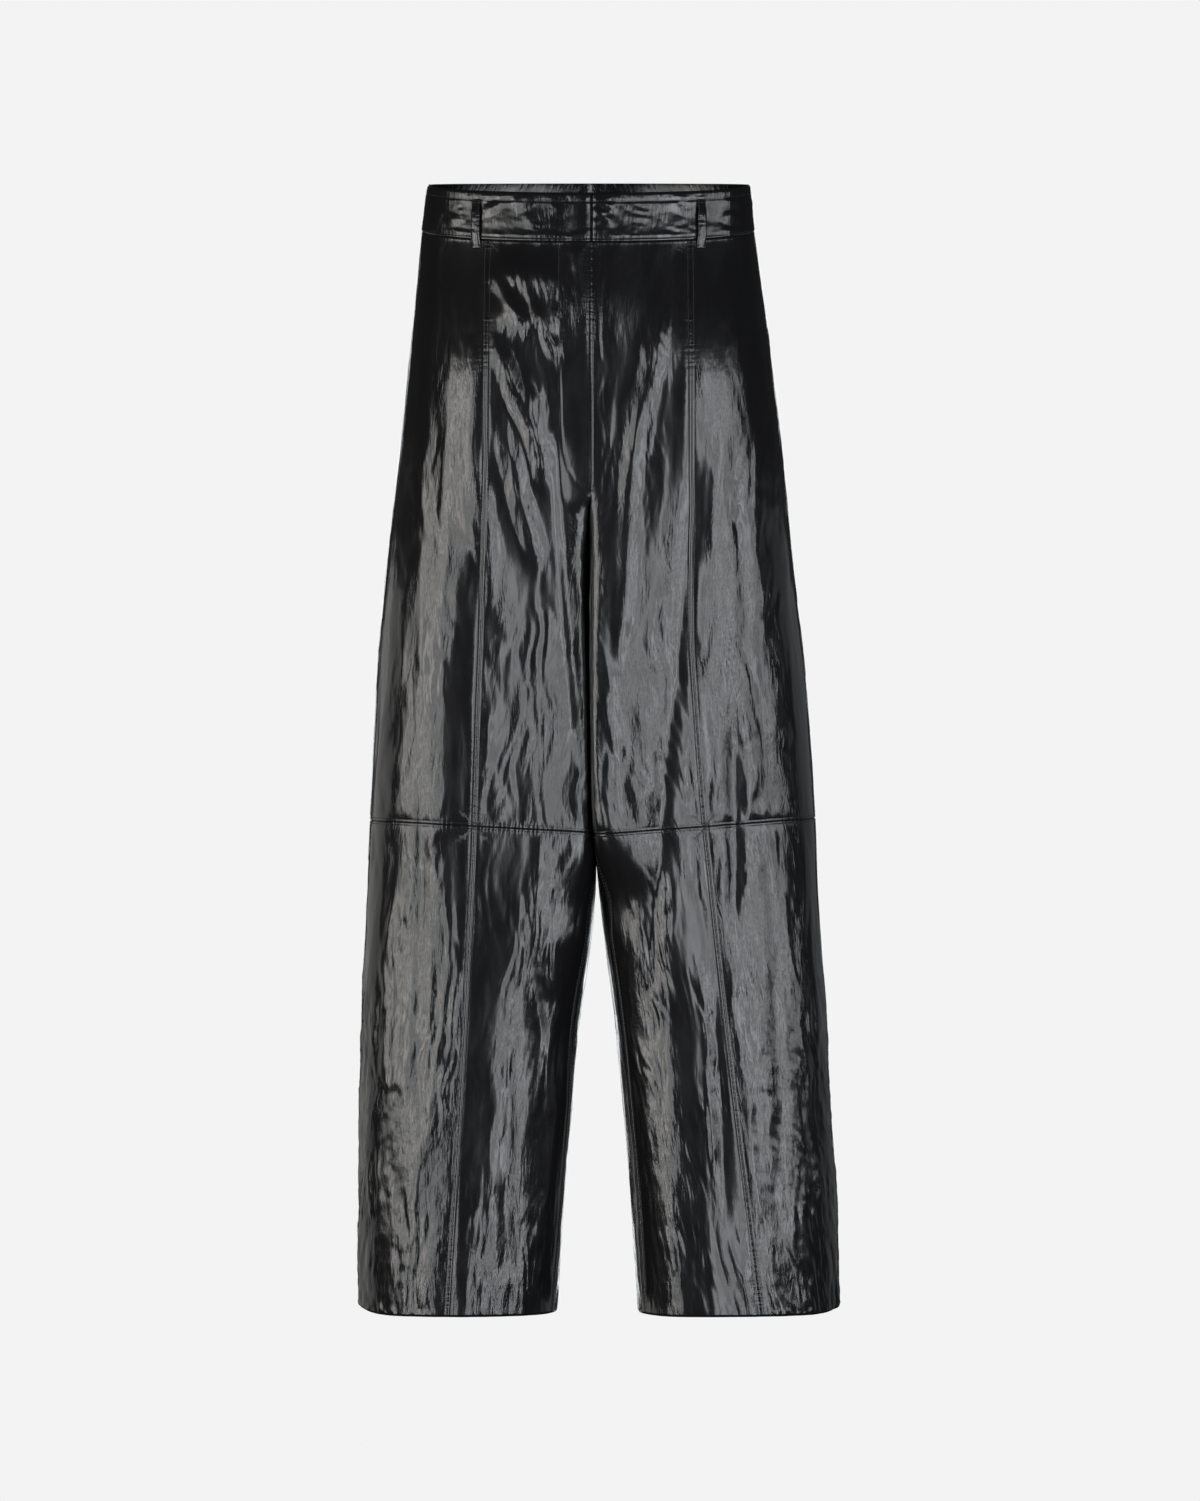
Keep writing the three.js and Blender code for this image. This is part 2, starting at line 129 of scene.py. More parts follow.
def curve(table, name):
    """A smooth curve through one column of a table whose rows run down the garment."""
    levels, values = table["z"], table[name]
    slopes = np.empty_like(values)
    slopes[1:-1] = (values[2:] - values[:-2]) / (levels[2:] - levels[:-2])
    slopes[0] = (values[1] - values[0]) / (levels[1] - levels[0])
    slopes[-1] = (values[-1] - values[-2]) / (levels[-1] - levels[-2])

    def at(z):
        z = np.clip(z, levels[-1], levels[0])
        k = np.clip(np.searchsorted(-levels, -z, side="right") - 1, 0, len(levels) - 2)
        step = levels[k + 1] - levels[k]
        t = (z - levels[k]) / step
        rise = values[k + 1] - values[k]
        start, end = slopes[k] * step, slopes[k + 1] * step
        return values[k] + start * t + (3 * rise - 2 * start - end) * t**2 + (start + end - 2 * rise) * t**3

    return at


outer = {side: curve(OUTSIDE, side) for side in SIDES}
front_depth = curve(OUTSIDE, "front")
back_depth = curve(OUTSIDE, "back")
outer_power = curve(OUTSIDE, "power")
inner = {side: curve(INSIDE, side) for side in SIDES}
inner_power = {side: curve(INSIDE, f"{side}_power") for side in SIDES}
front_turn = {side: curve(INSIDE, f"{side}_turn") for side in SIDES}
inseam_share = {side: curve(INSIDE, f"{side}_inseam") for side in SIDES}
panel_seam_x = {side: curve(PANEL_SEAM, side) for side in SIDES}


def smoothstep(x, low, high):
    t = np.clip((x - low) / (high - low), 0, 1)
    return t * t * (3 - 2 * t)


def mix(a, b, share):
    return a + (b - a) * share


def cleft(z):
    """How far the centre seam has turned under: 0 above, 1 at the crotch."""
    return smoothstep(-z, -RISE_CURVE_TOP, -CROTCH)


def leaning(z):
    """How much the left leg's front edge laps over the right leg, between crotch and knee."""
    return smoothstep(-z, -RISE_CURVE_TOP, -LEAN_FULL) * (1 - smoothstep(-z, -LEAN_END, -LEAN_NONE))


def middle_and_reach(side, z):
    return (outer[side](z) + inner[side](z)) / 2, (outer[side](z) - inner[side](z)) / 2


def other_share(share, power):
    """The other share of a point on a squared ellipse, from one of its two shares of the half widths."""
    return np.maximum(0, 1 - share**power) ** (1 / power)


def front_angle(side, z, x):
    """Where x lies on the front of a section: -pi at the inside of the leg, 0 at the side seam."""
    middle, reach = middle_and_reach(side, z)
    share = np.clip(np.abs(x - middle) / reach, 0, 1)
    outside = -np.arctan2(other_share(share, outer_power(z)), share)
    return np.where(x > middle, outside, -np.pi + np.arctan2(other_share(share, inner_power[side](z)), share))


def inseam(side, z):
    share = inseam_share[side](z)
    forward = np.arctan2(share, other_share(share, inner_power[side](z)))
    return np.where(z >= CROTCH, 0, forward) - np.pi


SEAMS = {
    "inseam": inseam,
    "panel": lambda side, z: front_angle(side, z, panel_seam_x[side](z)),
    "side": lambda side, z: np.zeros_like(z),
    "seat": lambda side, z: np.where(z >= CROTCH, np.pi, inseam(side, z) + 2 * np.pi),
}


def section(side, angle, z):
    """The leather's outer face without folds: distance from the centre line, depth and their shares."""
    middle, reach = middle_and_reach(side, z)
    turn = np.cos(angle)
    power = np.where(turn > 0, outer_power(z), inner_power[side](z))
    swell = (np.abs(turn) ** power + np.abs(np.sin(angle)) ** power) ** (-1 / power)
    across_share = turn * swell
    level = middle + reach * across_share
    leg_share = np.abs(np.sin(angle)) * swell
    hip_share = np.maximum(0, 1 - (np.abs(level) / outer[side](z)) ** HIP_POWER) ** (1 / HIP_POWER)
    thigh = smoothstep(-z, THIGH_STARTS, THIGH_FULL)
    full_share = mix(hip_share, np.where(turn > 0, leg_share, 1), thigh)
    depth_share = np.sign(np.sin(angle)) * mix(full_share, leg_share, cleft(z))
    depth = depth_share * np.where(depth_share < 0, front_depth(z), back_depth(z))
    depth = depth + front_turn[side](z) * reach * across_share * leg_share * (depth_share < 0)
    lean = SIDES[side] * LEAN * leaning(z) * depth_share * ((1 - across_share) / 2) ** 2
    return level + lean, depth, across_share, depth_share


def lift(side, across_share, depth_share, z):
    """How far a point is moved up or down from its level, between the slants of the seams."""
    front = depth_share < 0
    waist = np.where(front, WAIST_DIP, BACK_RISE) * depth_share
    top = np.where(front, TOP_DIP, BACK_RISE) * depth_share
    knee = KNEE_SLANT[side] * across_share
    hem = HEM_RISE * np.maximum(0, across_share) ** 10
    above_knee = np.where(z > WAIST, mix(waist, top, z / BAND_TOP), mix(waist, knee, z / KNEE))
    return np.where(z > KNEE, above_knee, mix(knee, hem, (z - KNEE) / (HEM - KNEE)))


# The main folds, each a soft ridge, or a trough where its height is below zero. across is the distance
# from the centre line and breadth half the width.
FOLDS = columns(
    "side face across_top z_top across_end z_end height breadth",
    [
        (-1, -1, 100, -18, 18, -34, 6.5, 20),
        (-1, -1, 98, -58, 30, -88, 4, 19),
        (-1, -1, 100, -18, 50, -98, 2.4, 6),
        (-1, -1, 70, -16, 24, -128, 2.4, 6),
        (-1, -1, 42, -30, 30, -92, 1.6, 5),
        (-1, -1, 92, -80, 50, -200, 2.6, 7),
        (-1, -1, 60, -120, 40, -250, 2, 7),
        (-1, -1, 86, -150, 46, -330, 2.6, 8),
        (-1, -1, 112, -165, 84, -390, 2.4, 8),
        (-1, -1, 140, -130, 152, -420, -1.6, 7),
        (-1, -1, 62, -640, 30, -900, -3, 9),
        (-1, -1, 155, -430, 160, -860, -1.8, 6),
        (-1, -1, 118, -860, 119, -1180, 2.2, 13),
        (-1, -1, 75, -860, 72, -1100, -1.4, 7),
        (1, -1, 73, -20, 32, -270, 2.2, 9),
        (1, -1, 44, -120, 30, -300, 1.6, 7),
        (1, -1, 106, -140, 66, -530, -2.6, 11),
        (1, -1, 72, -410, 55, -760, -2.8, 11),
        (1, -1, 133, -420, 134, -700, -3.2, 7),
        (1, -1, 128, -130, 152, -460, -1.8, 7),
        (1, -1, 112, -640, 128, -980, -1.8, 8),
        (1, -1, 168, -560, 182, -960, -1.8, 7),
        (1, -1, 64, -780, 94, -1240, 3, 15),
        (1, -1, 36, -240, 26, -420, 1.8, 7),
        (-1, 1, 60, -40, 96, -190, -2.8, 11),
        (-1, 1, 118, -230, 96, -545, 4.2, 14),
        (-1, 1, 66, -300, 62, -550, -4, 13),
        (-1, 1, 150, -300, 154, -540, -3.4, 12),
        (-1, 1, 30, -290, 92, -370, -3.6, 10),
        (-1, 1, 90, -585, 96, -960, 4.4, 15),
        (-1, 1, 130, -600, 138, -900, -4, 13),
        (-1, 1, 50, -590, 66, -940, -3.6, 12),
        (1, 1, 56, -36, 88, -180, -3, 11),
        (1, 1, 108, -240, 112, -540, 4, 14),
        (1, 1, 62, -320, 70, -545, -4.2, 12),
        (1, 1, 156, -280, 150, -545, -3.2, 12),
        (1, 1, 28, -300, 84, -390, -3.4, 10),
        (1, 1, 96, -590, 116, -970, 4.2, 15),
        (1, 1, 144, -590, 160, -930, -4, 13),
        (1, 1, 60, -600, 84, -900, -3.8, 12),
    ],
)


def fold_height(side, face, across, z):
    height = np.zeros_like(across)
    ours = (FOLDS["side"] == SIDES[side]) & (FOLDS["face"] == face)
    for k in np.flatnonzero(ours):
        x, y = FOLDS["across_top"][k], FOLDS["z_top"][k]
        dx, dz = FOLDS["across_end"][k] - x, FOLDS["z_end"][k] - y
        t = np.clip(((across - x) * dx + (z - y) * dz) / (dx**2 + dz**2), 0, 1)
        away = np.hypot(across - x - t * dx, z - y - t * dz) / FOLDS["breadth"][k]
        ends = smoothstep(t, 0, 0.35) * smoothstep(1 - t, 0, 0.35)
        height += FOLDS["height"][k] * np.exp(-(away**2)) * ends
    return height


def ripple(u, v, seed):
    """Smooth seeded noise on a lattice of unit cells, from about -1 to 1."""
    turns = np.random.default_rng(seed).uniform(0, 2 * np.pi, (64, 64))
    left, low = np.floor(u).astype(int), np.floor(v).astype(int)
    across, up = u - left, v - low
    fade_u = across**3 * (across * (across * 6 - 15) + 10)
    fade_v = up**3 * (up * (up * 6 - 15) + 10)

    def corner(i, j):
        turn = turns[(left + i) % 64, (low + j) % 64]
        return np.cos(turn) * (across - i) + np.sin(turn) * (up - j)

    lower = mix(corner(0, 0), corner(1, 0), fade_u)
    upper = mix(corner(0, 1), corner(1, 1), fade_u)
    return 1.6 * mix(lower, upper, fade_v)


def creased(u, v, seed):
    """Rounded swellings parted by thin creases, from 0 in a crease to about 1."""
    return np.sqrt(ripple(u, v, seed) ** 2 + 0.004)


FLAMES_REACH = 70


def crumple(along, z, seed, cells):
    """The crushed grain of the leather: long uneven streaks with shorter ones on them, and low on the
    side panels small cells. Above the hem it is pressed into upright wedges."""
    drift = 9 * ripple(along / 40, z / 70, seed) + 3 * ripple(along / 13, z / 40, seed + 1)
    u = along + drift
    strong = 0.3 + 0.7 * smoothstep(ripple(along / 36, z / 90, seed + 2), -0.35, 0.4)
    broad = 1.3 * ripple(u / 19, z / 120, seed + 9)
    long_streaks = 1.6 * creased(u / 10, z / 62, seed + 3)
    short_streaks = 1.0 * creased((u + 0.12 * z) / 6, z / 30, seed + 4)
    patches = 0.36 * creased((u - 0.2 * z) / 5, z / 15, seed + 5)
    low = cells * smoothstep(-z, 640, 800)
    small = 0.6 * creased((u + 0.5 * z) / 9, z / 18, seed + 6) + 0.35 * creased((u - z) / 6, z / 9, seed + 7)
    flames = 0.9 * smoothstep(-z, -HEM_FOLD - FLAMES_REACH, -HEM_FOLD) * creased(u / 9, z / 40, seed + 8)
    return broad + strong * (long_streaks + short_streaks + patches) + low * small + flames


NEAR_SEAM = np.array([0, 0.5, 1.1, 1.8, 2.6, 3.4, 4.3, 5.5, 7.0, 9.0])
STITCH_ROW = 4


def spread(top, bottom, step):
    """Levels from top to bottom, close together at both ends, where the seams are."""
    length = top - bottom
    count = max(2, int(round((length - 2 * NEAR_SEAM[-1]) / step)))
    between = np.linspace(NEAR_SEAM[-1], length - NEAR_SEAM[-1], count + 1)
    return top - np.concatenate([NEAR_SEAM[:-1], between, length - NEAR_SEAM[-2::-1]])


MEASURING_SHARES = np.linspace(0, 1, 241)


def lengths_round(side, angles, z):
    """The length along the leather from the first angle of each row to every angle in it."""
    across, depth, _, _ = section(side, angles, z)
    pieces = np.hypot(np.diff(across, axis=1), np.diff(depth, axis=1))
    return np.concatenate([np.zeros((len(z), 1)), np.cumsum(pieces, axis=1)], axis=1)


def angles_round(side, start, end, levels, count):
    """Angles spread round each level from one seam to another, close together beside both seams."""
    angles = mix(start[:, None], end[:, None], MEASURING_SHARES)
    lengths = lengths_round(side, angles, levels[:, None] + np.zeros_like(angles))
    between = np.linspace(0, 1, count + 1)[1:-1]
    rows = []
    for row_angles, row_lengths in zip(angles, lengths):
        near = HALF_GAP + NEAR_SEAM
        far = row_lengths[-1] - HALF_GAP - NEAR_SEAM[::-1]
        along = np.concatenate([near, mix(near[-1], far[0], between), far])
        rows.append(np.interp(along, row_lengths, row_angles))
    return np.array(rows)


def panel_grid(side, from_seam, to_seam, levels, column_step):
    """The angle and level of every point of a panel, and its distance from both seams."""

    def angles_at(rows):
        return angles_round(side, SEAMS[from_seam](side, rows), SEAMS[to_seam](side, rows), rows, count)

    ends = np.array([CROTCH, levels[0]], float)
    sweep = mix(SEAMS[from_seam](side, ends)[:, None], SEAMS[to_seam](side, ends)[:, None], MEASURING_SHARES)
    widest = lengths_round(side, sweep, ends[:, None] + np.zeros_like(sweep))[:, -1].max()
    count = max(2, int(round((widest - 2 * NEAR_SEAM[-1]) / column_step)))
    angle = angles_at(levels)
    top, bottom = angles_at(np.array([RISE_CURVE_TOP, CROTCH], float))
    rise = (levels < RISE_CURVE_TOP) & (levels > CROTCH)
    down = smoothstep(-levels[rise], -RISE_CURVE_TOP, -CROTCH)[:, None]
    angle[rise] = mix(top, bottom, down)
    z = levels[:, None] + np.zeros_like(angle)
    along = lengths_round(side, angle, z) + HALF_GAP
    return angle, z, along, along[:, -1:] + HALF_GAP - along


def on_skin(side, angle, z, height):
    """Points of the skin moved out by a height, which may differ from point to point."""
    step = 0.004
    across, depth, across_share, depth_share = section(side, angle, z)
    ahead, behind = section(side, angle + step, z), section(side, angle - step, z)
    along_x, along_y = ahead[0] - behind[0], ahead[1] - behind[1]
    length = np.maximum(np.hypot(along_x, along_y), 1e-9)
    x = SIDES[side] * (across + height * along_y / length)
    y = depth - height * along_x / length
    return np.stack([x, y, z + lift(side, across_share, depth_share, z)], axis=-1)


def folded(side, angle, z):
    across, depth, _, depth_share = section(side, angle, z)
    face = np.where(depth < 0, -1, 1)
    height = np.where(face < 0, fold_height(side, -1, across, z), fold_height(side, 1, across, z))
    fade = smoothstep(across - inner[side](z), 2, 22) * smoothstep(np.abs(depth_share), 0.1, 0.45)
    return height * fade * smoothstep(-z, 4, 40)


def rolled_edge(away):
    """A sewn edge: it rolls down into the seam and swells a little beside it."""
    return -0.55 * np.exp(-((away / 0.7) ** 2)) + 0.1 * np.exp(-(((away - 1.5) / 1.2) ** 2))


def stitched_edge(away):
    """The dip where a row of stitches pulls the leather down, and the swelling past it."""
    row = NEAR_SEAM[STITCH_ROW]
    return -0.22 * np.exp(-(((away - row) / 0.8) ** 2)) + 0.1 * np.exp(-(((away - row - 3.6) / 2.4) ** 2))


def shell(name, outside, inside, flat_places, attributes, materials, lined=None):
    """One closed wall of leather from its outer and inner faces, two grids whose rows run downwards.

    The inner face takes the second material, apart from the rows that lined marks."""
    rows, across = outside.shape[:2]
    count = rows * across
    points = np.concatenate([outside.reshape(-1, 3), inside.reshape(-1, 3)]) * MM
    index = np.arange(count).reshape(rows, across)

    def quads(a, b, c, d):
        return np.stack([a, b, c, d], axis=-1).reshape(-1, 4)

    front = quads(index[:-1, :-1], index[1:, :-1], index[1:, 1:], index[:-1, 1:])
    back = front[:, ::-1] + count
    rims = [
        quads(index[:-1, 0], index[:-1, 0] + count, index[1:, 0] + count, index[1:, 0]),
        quads(index[1:, -1], index[1:, -1] + count, index[:-1, -1] + count, index[:-1, -1]),
        quads(index[0, 1:], index[0, 1:] + count, index[0, :-1] + count, index[0, :-1]),
        quads(index[-1, :-1], index[-1, :-1] + count, index[-1, 1:] + count, index[-1, 1:]),
    ]
    faces = np.concatenate([front, back, *rims])
    mesh = bpy.data.meshes.new(name)
    mesh.vertices.add(len(points))
    mesh.vertices.foreach_set("co", points.ravel())
    mesh.loops.add(faces.size)
    mesh.loops.foreach_set("vertex_index", faces.ravel())
    mesh.polygons.add(len(faces))
    mesh.polygons.foreach_set("loop_start", np.arange(0, faces.size, 4))
    smooth = np.arange(len(faces)) < len(front) + len(back)
    mesh.polygons.foreach_set("use_smooth", smooth)
    for material in materials:
        mesh.materials.append(material)
    inner_face = np.zeros((rows - 1, across - 1), bool) if len(materials) == 1 else ~lined[:-1, :-1]
    kinds = np.zeros(len(faces), int)
    kinds[len(front) : 2 * len(front)] = inner_face.ravel()
    mesh.polygons.foreach_set("material_index", kinds)
    layer = mesh.uv_layers.new(name="cut")
    both = np.concatenate([flat_places.reshape(-1, 2)] * 2) * MM
    layer.data.foreach_set("uv", both[faces.ravel()].ravel())
    for key, values in attributes.items():
        attribute = mesh.attributes.new(key, "FLOAT", "POINT")
        attribute.data.foreach_set("value", np.concatenate([values.ravel()] * 2).astype(np.float32))
    mesh.update()
    mesh.validate()
    piece = bpy.data.objects.new(name, mesh)
    bpy.context.scene.collection.objects.link(piece)
    return piece


def leather(name, crease_depth, roughness):
    """Glossy finished leather: a fine crushed grain under a clear top coat."""
    material = bpy.data.materials.new(name)
    material.use_nodes = True
    nodes, links = material.node_tree.nodes, material.node_tree.links
    shader = nodes["Principled BSDF"]
    shader.inputs["Base Color"].default_value = (0.0062, 0.0062, 0.0068, 1)
    shader.inputs["IOR"].default_value = 1.5
    shader.inputs["Coat Weight"].default_value = 0.4
    shader.inputs["Coat Roughness"].default_value = 0.13
    shader.inputs["Coat IOR"].default_value = 1.5
    place = nodes.new("ShaderNodeUVMap")
    place.uv_map = "cut"

    def stretched(scale_across, scale_along, turn):
        mapping = nodes.new("ShaderNodeMapping")
        mapping.inputs["Scale"].default_value = (1 / scale_across, 1 / scale_along, 1)
        mapping.inputs["Rotation"].default_value = (0, 0, turn)
        links.new(place.outputs["UV"], mapping.inputs["Vector"])
        return mapping

    def noise(scale_across, scale_along, turn, detail, distortion):
        texture = nodes.new("ShaderNodeTexNoise")
        texture.inputs["Scale"].default_value = 1
        texture.inputs["Detail"].default_value = detail
        texture.inputs["Distortion"].default_value = distortion
        links.new(stretched(scale_across, scale_along, turn).outputs["Vector"], texture.inputs["Vector"])
        return texture

    def math_node(operation, first, second):
        node = nodes.new("ShaderNodeMath")
        node.operation = operation
        for socket, value in zip(node.inputs, (first, second)):
            if isinstance(value, (int, float)):
                socket.default_value = value
            else:
                links.new(value, socket)
        return node.outputs["Value"]

    def creases(scale_across, scale_along, turn, distortion):
        value = noise(scale_across, scale_along, turn, 2.5, distortion).outputs["Fac"]
        return math_node("ABSOLUTE", math_node("SUBTRACT", value, 0.5), 0)

    height = math_node("MULTIPLY", creases(0.0065, 0.034, 0.08, 0.7), 0.8)
    height = math_node("ADD", height, math_node("MULTIPLY", creases(0.0038, 0.018, -0.14, 0.8), 0.4))
    height = math_node("ADD", height, math_node("MULTIPLY", creases(0.0024, 0.006, -0.3, 0.9), 0.11))
    patches = noise(0.04, 0.09, 0.3, 2, 0.3).outputs["Fac"]
    strength = nodes.new("ShaderNodeMapRange")
    strength.inputs["From Min"].default_value = 0.36
    strength.inputs["From Max"].default_value = 0.6
    strength.inputs["To Min"].default_value = 0.3
    links.new(patches, strength.inputs["Value"])

    def attribute(name):
        node = nodes.new("ShaderNodeAttribute")
        node.attribute_name = name
        return node.outputs["Fac"]

    crush = math_node("ADD", math_node("MULTIPLY", attribute("crush"), 0.85), 0.15)
    height = math_node("MULTIPLY", height, math_node("MULTIPLY", strength.outputs["Result"], crush))
    from_seam, down_seam = attribute("seam_away"), attribute("seam_along")
    spot = nodes.new("ShaderNodeCombineXYZ")
    links.new(math_node("DIVIDE", down_seam, 0.0034), spot.inputs["X"])
    links.new(math_node("DIVIDE", from_seam, 0.014), spot.inputs["Y"])
    pucker = nodes.new("ShaderNodeTexNoise")
    pucker.inputs["Scale"].default_value = 1
    pucker.inputs["Detail"].default_value = 1
    links.new(spot.outputs["Vector"], pucker.inputs["Vector"])
    fade = math_node("POWER", 2.718, math_node("DIVIDE", from_seam, -0.0045))
    height = math_node("ADD", height, math_node("MULTIPLY", math_node("MULTIPLY", pucker.outputs["Fac"], fade), 0.6))
    bump = nodes.new("ShaderNodeBump")
    bump.inputs["Strength"].default_value = 1
    bump.inputs["Distance"].default_value = crease_depth * MM
    links.new(height, bump.inputs["Height"])
    links.new(bump.outputs["Normal"], shader.inputs["Normal"])
    links.new(bump.outputs["Normal"], shader.inputs["Coat Normal"])
    gloss = nodes.new("ShaderNodeMapRange")
    gloss.inputs["From Min"].default_value = 0.3
    gloss.inputs["From Max"].default_value = 0.7
    gloss.inputs["To Min"].default_value = roughness - 0.05
    gloss.inputs["To Max"].default_value = roughness + 0.05
    links.new(noise(0.02, 0.05, 0.2, 3, 0.4).outputs["Fac"], gloss.inputs["Value"])
    links.new(gloss.outputs["Result"], shader.inputs["Roughness"])
    return material


def flesh_side(name):
    """The inside of the leather: dull, soft and a little fibrous."""
    material = bpy.data.materials.new(name)
    material.use_nodes = True
    nodes, links = material.node_tree.nodes, material.node_tree.links
    shader = nodes["Principled BSDF"]
    shader.inputs["Roughness"].default_value = 0.85
    shader.inputs["Sheen Weight"].default_value = 0.3
    shader.inputs["Sheen Roughness"].default_value = 0.5
    place = nodes.new("ShaderNodeTexCoord")
    fibres = nodes.new("ShaderNodeTexNoise")
    fibres.inputs["Scale"].default_value = 900
    fibres.inputs["Detail"].default_value = 4
    links.new(place.outputs["Object"], fibres.inputs["Vector"])
    shade = nodes.new("ShaderNodeValToRGB")
    shade.color_ramp.elements[0].color = (0.012, 0.012, 0.013, 1)
    shade.color_ramp.elements[1].color = (0.03, 0.03, 0.032, 1)
    links.new(fibres.outputs["Fac"], shade.inputs["Fac"])
    links.new(shade.outputs["Color"], shader.inputs["Base Color"])
    bump = nodes.new("ShaderNodeBump")
    bump.inputs["Strength"].default_value = 0.6
    bump.inputs["Distance"].default_value = 0.3 * MM
    links.new(fibres.outputs["Fac"], bump.inputs["Height"])
    links.new(bump.outputs["Normal"], shader.inputs["Normal"])
    return material


LEATHER = leather("glossy_leather", crease_depth=1.0, roughness=0.2)
FLESH = flesh_side("flesh_side")
CUTS = {
    "front_centre": ("inseam", "panel", 2.4, True, True),
    "front_side": ("panel", "side", 2.4, True, False),
    "back": ("side", "seat", 4.8, False, True),
}
LENGTHS = {
    "upper": spread(WAIST - HALF_GAP, KNEE + HALF_GAP, 3.4),
    "lower": spread(KNEE - HALF_GAP, HEM, 3.4),
}
# The fly: the right front laps over the left at the centre and is topstitched in a J.
FLY_BOTTOM = -255
FLY_LAP = 1.8
FLY_RAISE = 1.8
FLY_WIDTH = 26
FLY_STITCH = columns(
    "from_edge z",
    [
        (28.5, -3),
        (28.3, -60),
        (27.6, -120),
        (26.6, -175),
        (24.5, -200),
        (20.5, -216),
        (14, -228),
        (6, -236),
        (1.5, -239),
    ],
)
CENTRE_SHIFT = 0.7
# Below the fly the right front folds in along a line that runs down to the centre, and comes out again
# towards the centre seam.
VALLEY_SLOPE_TOP = 0.1
VALLEY_SLOPE = 0.2
VALLEY_SIDE = 10
VALLEY = columns("across z", [(30, -185), (27, -220), (22, -300), (14, -400), (6, -470), (1, -530)])


def valley(side, angle, z):
    across = section(side, angle, z)[0]
    line = np.interp(-z, -VALLEY["z"], VALLEY["across"])
    slope = mix(VALLEY_SLOPE_TOP, VALLEY_SLOPE, smoothstep(-z, 215, 330))
    depth = slope * np.clip(across, 0, line) * (1 - smoothstep(across, line, line + VALLEY_SIDE))
    return depth * smoothstep(-z, 170, 215) * (1 - smoothstep(-z, 480, 540))


def crushed_share(skin, cut, z):
    """How crushed the leather is: little where it is pulled flat at the front and at the outer sides."""
    away = np.degrees(np.arctan2(np.gradient(skin[..., 1], axis=1), np.gradient(skin[..., 0], axis=1)))
    turn = np.abs((away + 90) % 180 - 90)
    share = smoothstep(turn, 3, 12) * (1 - 0.8 * smoothstep(turn, 40, 55))
    low = smoothstep(-z, 620, 780) * (cut == "front_side")
    high = smoothstep(z, -110, -60)
    if cut == "front_centre":
        return np.maximum(share, high * (1 if skin[0, 0, 0] < 0 else 0.3))
    return np.maximum(share, low) * (1 - 0.8 * high)


def from_fly_stitch(from_edge, z):
    nearest = np.full_like(z, 1e9)
    x, y = FLY_STITCH["from_edge"], FLY_STITCH["z"]
    for k in range(len(x) - 1):
        dx, dz = x[k + 1] - x[k], y[k + 1] - y[k]
        t = np.clip(((from_edge - x[k]) * dx + (z - y[k]) * dz) / (dx**2 + dz**2), 0, 1)
        nearest = np.minimum(nearest, np.hypot(from_edge - x[k] - t * dx, z - y[k] - t * dz))
    return nearest


panels = {}
seed = 100
for side in SIDES:
    for cut, (from_seam, to_seam, column_step, stitched_from, stitched_to) in CUTS.items():
        for length, levels in LENGTHS.items():
            seed += 10
            angle, z, from_start, from_end = panel_grid(side, from_seam, to_seam, levels, column_step)
            from_top, from_bottom = levels[0] - z, z - levels[-1]
            below = from_bottom if length == "upper" else np.full_like(z, 99)
            level_edge = np.minimum(from_top, below)
            sewn = np.minimum(np.minimum(from_start, from_end), level_edge)
            main = folded(side, angle, z)
            crush = crushed_share(on_skin(side, angle, z, main), cut, z)
            cells = 1 if cut != "front_centre" else 0.25
            along = -from_end if cut == "front_centre" else from_start
            relief = crumple(along, z, seed, cells) * smoothstep(sewn, 1, 12) * mix(0.3, 1, crush)
            relief += rolled_edge(np.minimum(from_start, from_end)) + rolled_edge(level_edge)
            relief += stitched_edge(np.where(length == "upper", from_bottom, from_top))
            relief += stitched_from * stitched_edge(from_start) + stitched_to * stitched_edge(from_end)
            shift = 0
            if cut == "front_centre" and length == "upper":
                shift = CENTRE_SHIFT * np.exp(-((from_start / 9) ** 2)) * smoothstep(z, CROTCH, CROTCH + 50)
                if side == "right":
                    main = main - valley(side, angle, z)
                    placket = 1 - smoothstep(from_start, 24, 34)
                    relief *= 1 - 0.85 * placket * smoothstep(-z, 95, 150)
                    over = smoothstep(z, FLY_BOTTOM, FLY_BOTTOM + 14)
                    main = main + FLY_RAISE * over * np.exp(-((from_start / FLY_WIDTH) ** 4))
                    shift = shift + FLY_LAP * over * np.exp(-((from_start / 9) ** 2))
                    relief -= 0.35 * np.exp(-((from_fly_stitch(from_start, z) / 0.9) ** 2))
            if length == "lower":
                relief -= 1.2 * np.exp(-((from_bottom / 0.9) ** 2))
                relief -= 0.25 * np.exp(-(((z - HEM_FOLD) / 1.6) ** 2))
            outside = on_skin(side, angle, z, main + relief)
            inside = on_skin(side, angle, z, main - np.where(z < HEM_FOLD, HEM_WALL, WALL))
            outside[..., 0] += shift
            inside[..., 0] += shift
            flat_places = np.stack([along + 7 * seed, z], axis=-1)
            seam_along = np.where(sewn < level_edge, z, from_start)
            if cut == "front_centre" and side == "right" and length == "upper":
                crush = crush * (1 - 0.9 * placket * smoothstep(-z, 95, 150))
            attributes = {"seam_away": sewn * MM, "seam_along": seam_along * MM, "crush": crush}
            node = f"{side}_{cut}_{length}"
            panels[node] = {"outside": outside, "inside": inside, "from_start": from_start, "levels": levels}
            turn = -1 if side == "right" else 1
            piece = shell(
                f"leather_{node}",
                outside[:, ::turn],
                inside[:, ::turn],
                flat_places[:, ::turn],
                {key: values[:, ::turn] for key, values in attributes.items()},
                [LEATHER, FLESH],
                lined=z < HEM_FOLD,
            )
            tall = levels[0] - levels[-1]
            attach(piece, "root")
            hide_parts(node)

